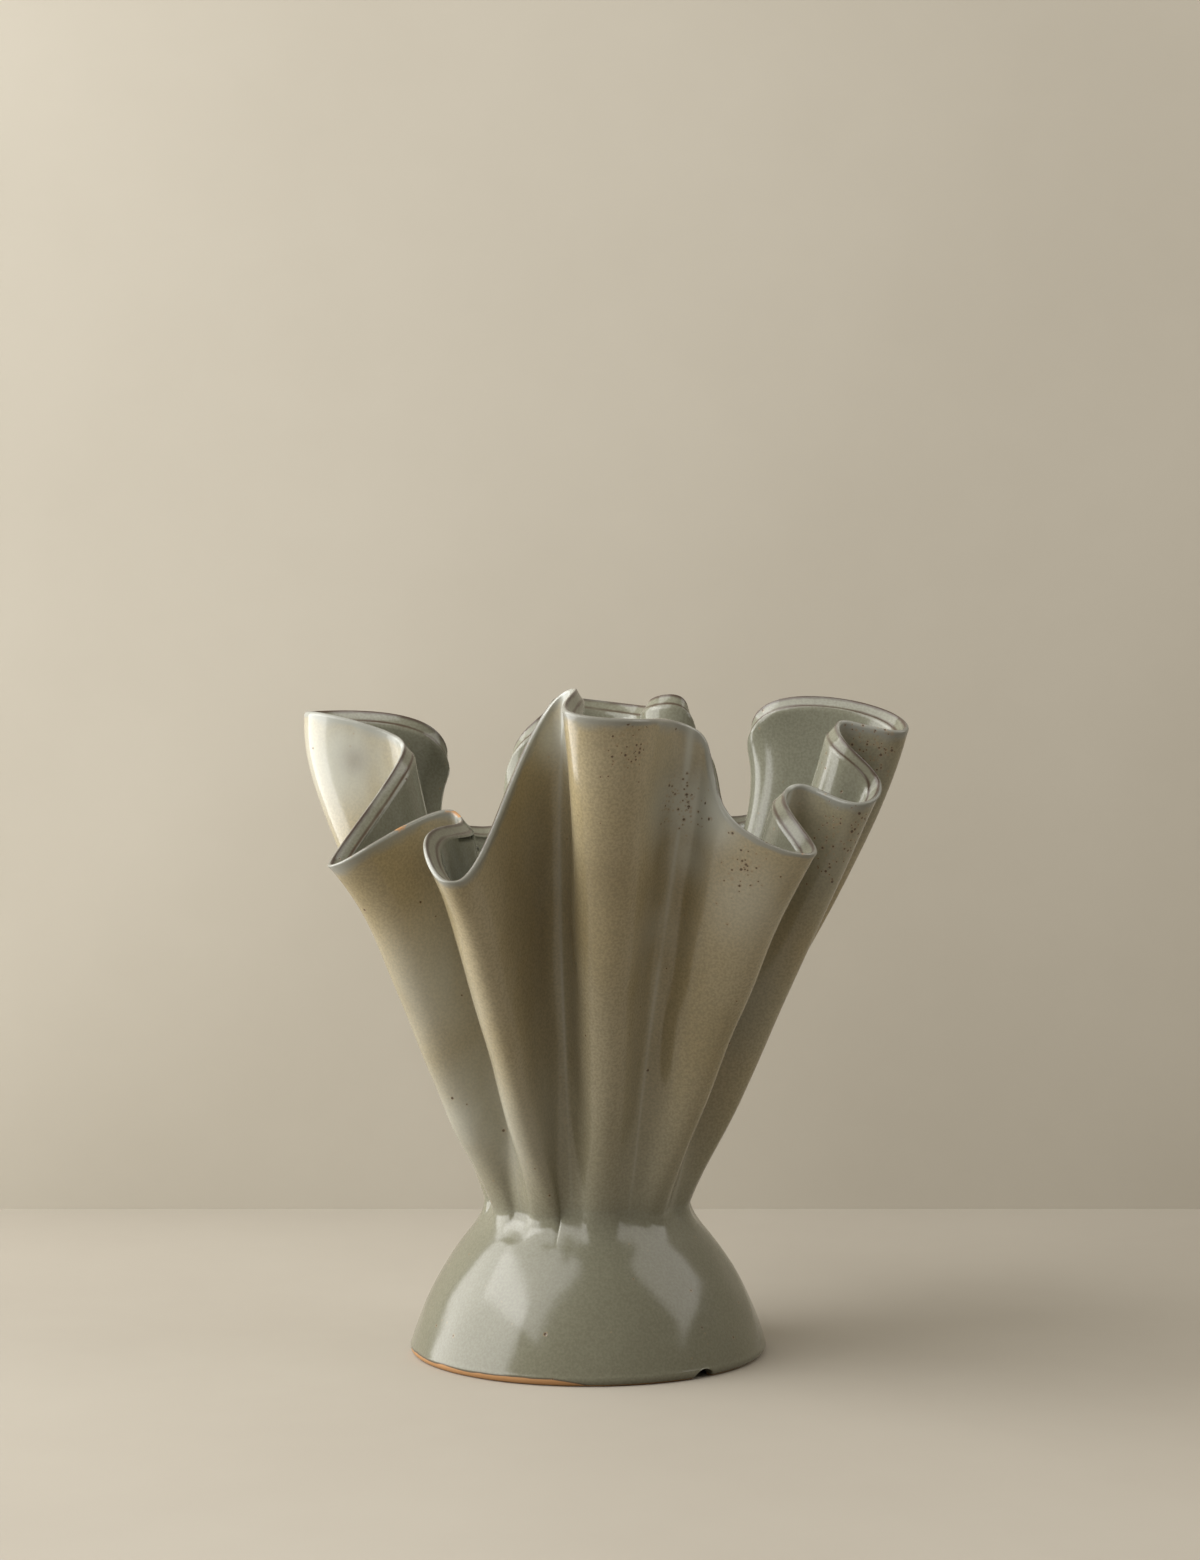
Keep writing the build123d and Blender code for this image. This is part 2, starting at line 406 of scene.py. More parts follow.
@dataclass(frozen=True)
class SlipFinish:
    """Fired joining slip: matt, a little grainy."""

    body: Colour = (0.42, 0.3, 0.18, 1.0)
    dark: Colour = (0.3, 0.2, 0.11, 1.0)

    def build(self, name: str) -> bpy.types.Material:
        """Make the material with the given name."""
        material, graph, shader = new_material(name)
        place = graph.node("ShaderNodeTexCoord").outputs["Object"]
        grain = graph.noise(place, 300.0, 4.0)
        graph.join(graph.mix(grain, self.body, self.dark), shader.inputs["Base Color"])
        shader.inputs["Roughness"].default_value = 0.8
        return material


@dataclass(frozen=True)
class PlasterFinish:
    """Warm, trowelled plaster of the floor and backdrop."""

    light: Colour
    dark: Colour

    def build(self, name: str) -> bpy.types.Material:
        """Make the material with the given name."""
        material, graph, shader = new_material(name)
        place = graph.node("ShaderNodeTexCoord").outputs["Object"]
        broad = graph.noise(place, 2.6, 5.0)
        fine = graph.noise(place, 40.0, 4.0)
        slow = graph.times(graph.ramp(broad, 0.3, 0.7), 0.75)
        cloud = graph.math("MULTIPLY_ADD", fine, 0.25, slow)
        graph.join(graph.mix(cloud, self.light, self.dark), shader.inputs["Base Color"])
        shader.inputs["Roughness"].default_value = 0.75
        clear = graph.node("ShaderNodeBsdfTransparent")
        choose = graph.node("ShaderNodeMixShader")
        graph.join(graph.node("ShaderNodeNewGeometry").outputs["Backfacing"], choose.inputs[0])
        graph.join(shader.outputs[0], choose.inputs[1])
        graph.join(clear.outputs[0], choose.inputs[2])
        output = next(node for node in graph.tree.nodes if node.type == "OUTPUT_MATERIAL")
        graph.join(choose.outputs[0], output.inputs["Surface"])
        return material


# Geometry tools


def periodic_spline(knots: np.ndarray, points: np.ndarray, at: np.ndarray) -> tuple[np.ndarray, np.ndarray]:
    """A closed cubic spline through points.

    Args:
        knots: parameter of each point, from 0, with the closing 1 at the end.
        points: one row per knot except the closing one.
        at: parameters to read.

    Returns:
        Points and first derivatives at those parameters.
    """
    step = np.diff(knots)
    count = len(points)
    before = np.roll(step, 1)
    slope = (np.roll(points, -1, axis=0) - points) / step[:, None]
    matrix = np.zeros((count, count))
    index = np.arange(count)
    matrix[index, index] = 2 * (before + step)
    matrix[index, index - 1] += before
    matrix[index, (index + 1) % count] += step
    bend = np.linalg.solve(matrix, 6 * (slope - np.roll(slope, 1, axis=0)))
    span = np.clip(np.searchsorted(knots, at, side="right") - 1, 0, count - 1)
    near, far = points[span], points[(span + 1) % count]
    bend_near, bend_far = bend[span], bend[(span + 1) % count]
    width = step[span][:, None]
    b = (at - knots[span])[:, None] / width
    a = 1 - b
    place = a * near + b * far + ((a**3 - a) * bend_near + (b**3 - b) * bend_far) * width**2 / 6
    along = (far - near) / width + ((3 * b**2 - 1) * bend_far - (3 * a**2 - 1) * bend_near) * width / 6
    return place, along


def smooth_step(value: np.ndarray) -> np.ndarray:
    """0 at or under 0, 1 at or over 1, with flat ends."""
    value = np.clip(value, 0.0, 1.0)
    return value * value * (3 - 2 * value)


def unit(vectors: np.ndarray) -> np.ndarray:
    """Vectors brought to length 1, row by row."""
    return vectors / np.linalg.norm(vectors, axis=1, keepdims=True)


def grid_faces(rows: int, columns: int) -> np.ndarray:
    """Quads of a grid whose columns close into a ring.

    Args:
        rows: number of rings.
        columns: number of points in each ring.

    Returns:
        Four vertex numbers for each quad.
    """
    row = np.arange(rows - 1)[:, None] * columns
    column = np.arange(columns)[None, :]
    follow = (column + 1) % columns
    corners = [row + column, row + follow, row + columns + follow, row + columns + column]
    return np.stack(corners, axis=-1).reshape(-1, 4)


def make_object(
    name: str, points: np.ndarray, quads: np.ndarray, rings: list[np.ndarray]
) -> bpy.types.Object:
    """Make a smooth mesh object.

    Args:
        name: the object's name.
        points: vertices in metres.
        quads: four vertex numbers for each quad.
        rings: vertex rings to close with a fan about a vertex given first.

    Returns:
        The object, linked into the scene.
    """
    faces = quads.tolist()
    for ring in rings:
        centre, edge = int(ring[0]), ring[1:]
        faces += [[centre, int(a), int(b)] for a, b in zip(edge, np.roll(edge, -1))]
    mesh = bpy.data.meshes.new(name)
    mesh.from_pydata(points.tolist(), [], faces)
    mesh.polygons.foreach_set("use_smooth", [True] * len(mesh.polygons))
    mesh.update()
    made = bpy.data.objects.new(name, mesh)
    bpy.context.scene.collection.objects.link(made)
    return made


def store(made: bpy.types.Object, name: str, values: np.ndarray) -> None:
    """Store one value for each vertex, for the shader to read."""
    layer = made.data.attributes.new(name, "FLOAT", "POINT")
    layer.data.foreach_set("value", np.ascontiguousarray(values, dtype=np.float32))


def sharpen(made: bpy.types.Object, columns: int) -> None:
    """Shade the first ring of a grid as a sharp edge."""
    mesh = made.data
    ends = np.zeros(2 * len(mesh.edges), dtype=np.int32)
    mesh.edges.foreach_get("vertices", ends)
    sharp = (ends.reshape(-1, 2) < columns).all(axis=1)
    mesh.attributes.new("sharp_edge", "BOOLEAN", "EDGE").data.foreach_set("value", sharp)


def arc(start: Pair, end: Pair, bulge: float, count: int) -> list[Pair]:
    """Points of a shallow arc.

    Args:
        start: first point.
        end: last point.
        bulge: height of the arc over its chord, on the left of the way.
        count: number of points.

    Returns:
        The points, ends included.
    """
    dx, dy = end[0] - start[0], end[1] - start[1]
    chord = math.hypot(dx, dy)
    points = []
    for step in range(count):
        share = step / (count - 1)
        lift = 4 * bulge * share * (1 - share) / chord
        points.append((start[0] + dx * share - dy * lift, start[1] + dy * share + dx * lift))
    return points


def rounded(corner: Pair, before: Pair, after: Pair, radius: float, count: int) -> list[Pair]:
    """Points that round a corner between two directions.

    Args:
        corner: the sharp corner.
        before: unit direction from the corner back along the profile.
        after: unit direction from the corner on along the profile.
        radius: radius of the round.
        count: number of points.

    Returns:
        The points of the round.
    """
    a, b = np.array(before), np.array(after)
    half = math.acos(float(np.clip(a @ b, -1, 1))) / 2
    reach = radius / math.tan(half)
    bisector = (a + b) / np.linalg.norm(a + b)
    centre = np.array(corner) + bisector * radius / math.sin(half)
    start = np.array(corner) + a * reach - centre
    end = np.array(corner) + b * reach - centre
    points = []
    for step in range(count):
        share = step / (count - 1)
        mixed = start * (1 - share) + end * share
        points.append(tuple(centre + mixed / np.linalg.norm(mixed) * radius))
    return points


# Pleated bowl


@dataclass(frozen=True)
class Fold:
    """One fold of the slab, in millimetres and degrees: its nose at the rim, and how it runs down."""

    azimuth: float
    reach: float
    drop: float
    nose: float
    climb: float = 0.0
    lip: float = 0.0
    sway: float = 0.0
    turn: float = 0.0


@dataclass(frozen=True)
class Ring:
    """One ring of the bowl's skin: its points, length from the rim's crest, part and level."""

    points: np.ndarray
    length: float
    part: Skin
    level: float


@dataclass(frozen=True)
class Mark:
    """A local mark on the outside: fold number with its share towards the next, level, size and strength."""

    fold: float
    level: float
    size: float
    strength: float


FOLDS = (
    Fold(-2, 13.5, 16, 16, climb=6, lip=5),
    Fold(23.5, -7, 16, 18, climb=-18, lip=11, turn=4),
    Fold(51, -11, 58, 35, climb=-4, lip=-2, turn=20),
    Fold(65.5, -3, 5.5, 15.5, lip=2, turn=4),
    Fold(86.5, -1.5, 8, 36.5, climb=4, lip=4, turn=-4),
    Fold(106, 8.5, 21, 17.5, climb=-18, lip=2, turn=-5),
    Fold(116, -3.5, 68.5, 18, lip=-2, turn=-7),
    Fold(135.5, -8.5, 69, 14, climb=6),
    Fold(150, 0, 61.5, 15, climb=12, lip=-2, turn=3),
    Fold(159.5, -18, 30, 18, climb=24, lip=11, turn=14),
    Fold(174.5, -1, 11, 14, lip=8, turn=20),
    Fold(191.5, -8, 26.5, 21.5, climb=-10, lip=1, turn=-2),
    Fold(218, 5.5, 73, 14, climb=6, lip=-6, turn=15),
    Fold(228.5, -9, 55, 12, climb=-4, turn=-16),
    Fold(243, 9, 71.5, 19.5, climb=-16, lip=-3, turn=-32),
    Fold(264, -2, 2, 13.5, climb=6, lip=2, sway=-2, turn=-30),
    Fold(273, 5, 10, 25.5, climb=-3, lip=4, turn=-3),
    Fold(294, 12.5, 16.5, 15, climb=-7, lip=2),
    Fold(308, 0, 61.5, 34, climb=-16, lip=-3, turn=-30),
    Fold(331, 9.5, 45, 19.5, climb=5, turn=-6),
    Fold(340, 5.5, 45, 14, climb=10, turn=-12),
    Fold(349, 22, 19, 20, climb=9, lip=2, turn=10),
)


@dataclass
class PleatedBowl:
    """The gathered slab. Sizes in millimetres, measured from the foot's axis and the table."""

    axis: Pair
    foot: "FlaredFoot"
    height: float = 305.0
    base: float = 61.8
    ridge_radius: float = 128.0
    valley_radius: float = 95.0
    waist_ridge: float = 44.0
    waist_valley: float = 39.5
    waist_nose: float = 6.0
    waist_azimuth: float = 16.0
    nose_growth: float = 1.5
    trumpet: float = 1.0
    half_wall: float = 2.9
    rim_round: float = 1.8
    rim_bevel: float = 4.5
    floor: float = 8.0
    skirt_low: float = 52.5
    waist_softness: float = 0.62
    soft_reach: float = 0.28
    skirt_rings: int = 22
    skirt_top: float = 0.045
    slant: float = 235.0
    inner_inset: float = 1.1
    inner_drop: float = 1.6
    inner_curl: float = 1.9
    bevel_hollow: float = 0.25
    moss_height: float = 26.0
    pool_highlight_start: float = 6.0
    pool_highlight_fade: float = 40.0
    columns: int = 1584
    levels: int = 64
    folds: tuple[Fold, ...] = FOLDS
    dents: tuple[Mark, ...] = (
        Mark(12.4, 0.36, 13.0, 2.0),
        Mark(10.47, 0.86, 14.0, 1.4),
        Mark(14.4, 0.6, 17.0, 1.2),
        Mark(16.2, 0.45, 15.0, 1.0),
        Mark(17.9, 0.5, 17.0, 1.2),
        Mark(18.2, 0.24, 12.0, 1.0),
    )
    specks: tuple[Mark, ...] = (
        Mark(16.21, 0.945, 8.0, 1.0),
        Mark(16.93, 0.847, 9.0, 0.9),
        Mark(17.9, 0.929, 8.0, 0.9),
        Mark(21.57, 0.961, 10.0, 0.7),
        Mark(19.72, 0.906, 17.0, 0.45),
    )
    # Pale marks: painted highlights and painted reflections on left-facing panels, valley flanks and some
    # rims, with some pale gathering glaze
    pools_and_highlights: tuple[Mark, ...] = (
        Mark(10.47, 0.93, 30.0, 0.95),
        Mark(17.6, 0.96, 17.0, 1.0),
        Mark(17.42, 0.9, 18.0, 1.0),
        Mark(17.3, 0.78, 12.0, 0.6),
        Mark(14.0, 1.0, 8.0, 0.7),
        Mark(13.55, 1.0, 7.0, 0.6),
        Mark(12.0, 1.0, 8.0, 0.6),
        Mark(16.95, 0.6, 16.0, 0.35),
        Mark(12.6, 0.3, 30.0, 0.7),
        Mark(12.4, 0.62, 32.0, 0.45),
        Mark(18.0, 0.86, 22.0, 0.3),
        Mark(19.9, 0.86, 24.0, 0.35),
        Mark(14.85, 0.92, 14.0, 0.8),
        Mark(15.5, 0.97, 8.0, 0.6),
    )
    greens: tuple[Mark, ...] = (
        Mark(19.6, 0.86, 34.0, 0.6),
        Mark(20.5, 0.9, 32.0, 0.75),
        Mark(21.5, 0.9, 34.0, 0.75),
        Mark(19.2, 0.5, 34.0, 0.5),
        Mark(16.6, 0.85, 18.0, 0.35),
    )
    crease: float = 0.07
    chips: tuple[Mark, ...] = (
        Mark(13.04, 1.0, 8.0, 1.0),
        Mark(12.45, 1.0, 12.0, 0.8),
        Mark(18.17, 1.0, 3.0, 1.0),
        Mark(14.6, 1.0, 8.0, 0.6),
    )
    smudges: tuple[Mark, ...] = (
        Mark(14.56, 1.0, 1.4, 0.9),
        Mark(14.66, 0.99, 1.6, 0.9),
        Mark(10.47, 0.917, 6.0, 0.5),
        Mark(16.05, 0.7, 13.0, 0.2),
        Mark(12.5, 0.9, 9.0, 0.25),
        Mark(16.0, 0.96, 5.0, 0.2),
    )
    knots: np.ndarray = field(init=False)

    def __post_init__(self) -> None:
        """Space the knots of every level by the chords of one level near the rim."""
        points = self.nose_points(0.85)
        chords = np.linalg.norm(np.roll(points, -1, axis=0) - points, axis=1) ** 0.75
        self.knots = np.concatenate([[0.0], np.cumsum(chords)]) / chords.sum()

    def nose_points(self, level: float) -> np.ndarray:
        """Both nose ends of every fold on the middle of the wall at a share of its height."""
        ends = []
        swell = 4 * level * (1 - level)
        lip = level**4 * (1 - level) / (0.8**4 * 0.2)
        for index, fold in enumerate(self.folds):
            ridge = index % 2 == 0
            rim = (self.ridge_radius if ridge else self.valley_radius) + fold.reach
            waist = self.waist_ridge if ridge else self.waist_valley
            radius = waist + (rim - waist) * level + fold.lip * lip - self.trumpet * swell
            start = self.waist_azimuth + index * 360 / len(self.folds)
            angle = math.radians(start + (fold.azimuth - start) * level + fold.sway * swell)
            turned = angle + math.radians(fold.turn) * level
            half = (self.waist_nose + (fold.nose - self.waist_nose) * max(level, 0.0) ** self.nose_growth) / 2
            height = self.base + (self.height - fold.drop - self.base) * level
            middle = np.array([radius * math.cos(angle), radius * math.sin(angle), height])
            step = np.array([-math.sin(turned) * half, math.cos(turned) * half, fold.climb / 2 * level])
            ends += [middle - step, middle + step]
        return np.array(ends)

    def places(self) -> np.ndarray:
        """Parameters round a ring, evenly shared among the noses and panels between them."""
        share = self.columns // (2 * len(self.folds))
        steps = np.arange(share) / share
        return np.concatenate([a + (b - a) * steps for a, b in zip(self.knots, self.knots[1:])])

    def fold_numbers(self) -> np.ndarray:
        """Fold number at each place round a ring, whole in the middle of a nose."""
        share = self.columns // (2 * len(self.folds))
        return np.arange(self.columns) / share / 2 - 0.25

    def wall(self, level: float) -> tuple[np.ndarray, np.ndarray, np.ndarray]:
        """One level of the wall.

        Args:
            level: share of the wall's height.

        Returns:
            Points on the middle of the wall, level steps across it, and unit steps up it.
        """
        at = self.places()
        point, along = periodic_spline(self.knots, self.nose_points(level), at)
        above = periodic_spline(self.knots, self.nose_points(level + 0.01), at)[0]
        below = periodic_spline(self.knots, self.nose_points(level - 0.01), at)[0]
        upward = unit(above - below)
        flat = unit(np.cross(along, upward)) * FLAT
        return point, flat / np.sum(flat**2, axis=1, keepdims=True), upward

    def hand(self, level: float) -> np.ndarray:
        """Slow unevenness of a hand-shaped wall at one level, in millimetres."""
        turn = self.places() * 2 * math.pi
        wave = np.zeros_like(turn)
        waves = ((5, 2.1, 0.4), (9, -3.3, 1.7), (14, 4.9, 2.9), (23, -6.1, 0.9), (31, 8.3, 4.2))
        for count, climb, phase in waves:
            wave += np.sin(count * turn + climb * level * math.pi + phase) / (1 + count * 0.05)
        return 0.26 * wave * smooth_step(np.array(level * 6)) - 0.45

    def rim_profile(self) -> list[Triple]:
        """Offsets across the wall, rises, and lengths from the crest, round the rim."""
        crest = self.half_wall - self.rim_round
        steps = []
        for degrees in range(0, 91, 10):
            angle = math.radians(degrees)
            offset = crest + self.rim_round * math.cos(angle)
            rise = self.rim_round * (math.sin(angle) - 1)
            steps.append((offset, rise, (angle - math.pi / 2) * self.rim_round))
        inner = self.inner_inset - self.half_wall
        slope = math.hypot(crest - inner, self.rim_bevel)
        for share in (0.12, 0.25, 0.4, 0.55, 0.7, 0.85, 0.95):
            hollow = self.bevel_hollow * math.sin(math.pi * share)
            steps.append((crest + (inner - crest) * share, -self.rim_bevel * share - hollow, slope * share))
        for turn in (0.0, 0.3, 0.6, 0.85, 1.0):
            fall = self.rim_bevel + self.inner_drop * turn**1.6
            steps.append((inner - self.inner_inset * turn, -fall, slope + self.inner_curl * turn))
        return steps

    def bevel_length(self) -> float:
        """Length of the rim's sloping cut, from its crest to its inner edge."""
        return math.hypot(2 * self.half_wall - self.rim_round - self.inner_inset, self.rim_bevel)

    def marks(self, marks: tuple[Mark, ...], points: np.ndarray) -> np.ndarray:
        """Strength at each point of local marks that fade out round their centres."""
        numbers = self.fold_numbers()
        total = np.zeros(len(points))
        for mark in marks:
            column = int(np.argmin(np.abs(numbers - mark.fold)))
            point, across, _ = self.wall(mark.level)
            centre = point[column] + across[column] * self.half_wall
            away = np.linalg.norm(points - centre, axis=1) / mark.size
            total = np.maximum(total, mark.strength * np.exp(-(away**2)))
        return total

    def rings(self) -> list[Ring]:
        """Rings of the skin in order: the joint, the outside, the rim, the inside and the floor."""
        lowest = self.skirt_top
        found = [Ring(points, -self.slant, Skin.OUTSIDE, 0.0) for points in self.skirt()]
        levels = [lowest + (1 - lowest) * k / self.levels for k in range(self.levels)]
        for level in levels:
            length = -self.slant * (1 - level) - self.rim_round * 1.6
            found.append(Ring(self.outer_ring(level), length, Skin.OUTSIDE, level))
        top, across, upward = self.wall(1.0)
        for offset, rise, length in self.rim_profile():
            uneven = self.hand(1.0) if length < self.bevel_length() + 1.5 else np.zeros(self.columns)
            points = top + across * (offset + uneven * 0.5)[:, None] + upward * rise
            found.append(Ring(points, length, Skin.RIM, 1.0))
        for level in reversed([share for share in levels if 0.06 < share < 0.975]):
            middle, across, _ = self.wall(level)
            length = self.bevel_length() + 2 + self.slant * (1 - level)
            found.append(Ring(middle - across * self.half_wall, length, Skin.INSIDE, level))
        reach = self.waist_valley - self.half_wall
        direction = unit(self.wall(0.0)[0] * FLAT)
        for share, rise in ((1.0, 3.6), (0.96, 1.6), (0.9, 0.4), (0.8, 0.05), (0.5, 0.0), (0.2, 0.0)):
            points = direction * reach * share
            points[:, 2] = self.base + self.floor + rise
            found.append(Ring(points, self.slant * 1.2, Skin.FLOOR, 0.0))
        return found

    def outer_ring(self, level: float) -> np.ndarray:
        """The outside of the wall at a share of its height, with the folds softened at the waist."""
        point, across, _ = self.wall(level)
        ring = point + across * (self.half_wall + self.hand(level))[:, None]
        radius = np.hypot(ring[:, 0], ring[:, 1])
        soft = self.waist_softness * (1 - smooth_step(np.array(level / self.soft_reach)))
        ring[:, :2] *= (1 + soft * (radius.mean() / radius - 1))[:, None]
        return ring

    def skirt(self) -> list[np.ndarray]:
        """Rings of the soft joint, from the side of the foot up into the folds."""
        end = self.outer_ring(self.skirt_top)
        ahead = self.outer_ring(self.skirt_top + 0.02)
        radius = np.hypot(end[:, 0], end[:, 1])
        turn = np.arctan2(end[:, 1], end[:, 0])
        lean = (np.hypot(ahead[:, 0], ahead[:, 1]) - radius) / (ahead[:, 2] - end[:, 2])
        foot = self.foot.skin_radius(self.skirt_low)
        foot_lean = self.foot.skin_radius(self.skirt_low + 0.5) - self.foot.skin_radius(self.skirt_low - 0.5)
        rings = []
        for step in range(self.skirt_rings):
            s = step / self.skirt_rings
            tall = end[:, 2] - self.skirt_low
            out = (2 * s**3 - 3 * s**2 + 1) * (foot + 0.03) + (3 * s**2 - 2 * s**3) * radius
            out += tall * (s * (1 - s) ** 2 * foot_lean - s**2 * (1 - s) * lean)
            height = self.skirt_low + tall * s
            over = np.maximum(out, self.foot.skin_radius(height) + 0.05)
            out = np.where(height < self.foot.height, over, out)
            rings.append(np.stack([out * np.cos(turn), out * np.sin(turn), height], axis=-1))
        return rings

    def crease_highlights_and_pools(self) -> np.ndarray:
        """Pale share at each place round a ring: a narrow painted highlight line along each valley's nose and
        a broader pale gathering of glaze over the valleys; least on a ridge's nose.
        """
        numbers = self.fold_numbers()
        valley = (numbers - 1) % 2
        away = np.minimum(valley, 2 - valley) / self.crease
        hollow = 0.5 - 0.5 * np.cos(numbers * math.pi)
        return 0.75 * np.exp(-(away**2)) + 0.35 * hollow**2

    def build(self, material: bpy.types.Material) -> bpy.types.Object:
        """Make the bowl's mesh, its stored values and its finish.

        Args:
            material: the glaze.

        Returns:
            The bowl's object.
        """
        rings = self.rings()
        rows = len(rings)
        points = np.concatenate([ring.points for ring in rings])
        rim = np.repeat(np.array([ring.length for ring in rings]), self.columns)
        part = np.repeat(np.array([ring.part.value for ring in rings]), self.columns)
        level = np.repeat(np.array([ring.level for ring in rings]), self.columns)
        outside = part == Skin.OUTSIDE.value
        dent = self.marks(self.dents, points) * outside
        inward = -points * FLAT
        inward /= np.linalg.norm(inward, axis=1, keepdims=True) + 1e-9
        points = points + inward * dent[:, None]
        specks = self.marks(self.specks, points) * (part <= Skin.RIM.value)
        smudge = self.marks(self.smudges, points) * outside
        floor_centre = len(points)
        base_centre = floor_centre + 1
        middle = [[0.0, 0.0, self.base + self.floor], [0.0, 0.0, self.skirt_low]]
        points = np.concatenate([points, np.array(middle)])
        quads = grid_faces(rows, self.columns)
        last = np.arange(self.columns) + (rows - 1) * self.columns
        first = np.arange(self.columns)[::-1]
        fans = [np.concatenate([[floor_centre], last]), np.concatenate([[base_centre], first])]
        place = (points + np.array([self.axis[0], self.axis[1], 0.0])) * MM
        low, high = (np.array(corner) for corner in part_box("pleated_bowl"))
        low[2] = self.skirt_low * MM
        place = np.clip(place, low, high)
        made = make_object("bowl_glazed", place, quads, fans)
        inside = rim > 0.5
        green = np.maximum(0.85 * (1 - level) ** 3, self.marks(self.greens, points[:-2]))
        sage = np.where(inside, 0.9, green)
        # Painted highlight lines along the valleys with pale gathering glaze, stronger towards the rim,
        # topped up by the pale marks of painted highlights and reflections; none inside, faded out towards
        # the joint
        pool_and_highlight = np.tile(self.crease_highlights_and_pools(), rows) * (0.25 + 0.65 * level**2)
        pool_and_highlight = np.maximum(pool_and_highlight, self.marks(self.pools_and_highlights, points[:-2])) * ~inside
        pool_and_highlight = pool_and_highlight * smooth_step((points[:-2, 2] - self.skirt_low - self.pool_highlight_start) / self.pool_highlight_fade)
        moss = np.clip(1 - (points[:-2, 2] - self.skirt_low) / self.moss_height, 0.0, 1.0) * ~inside
        chips = self.marks(self.chips, points[:-2]) * ~inside
        values = {"speck": 0.004 + specks, "smudge": smudge, "sage": sage}
        values |= {"pool_and_highlight": pool_and_highlight, "moss": moss, "chip": chips}
        store(made, "rim_mm", np.append(rim, [99.0, 99.0]))
        for name, value in values.items():
            store(made, name, np.append(value, [0.0, 0.0]))
        store(made, "bare_mm", np.full(len(place), -9.0))
        sharpen(made, self.columns)
        made.data.materials.append(material)
        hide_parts("pleated_bowl")
        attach(made, "root")
        log.info("bowl: %d vertices, %d faces", len(made.data.vertices), len(made.data.polygons))
        return made


# Flared foot


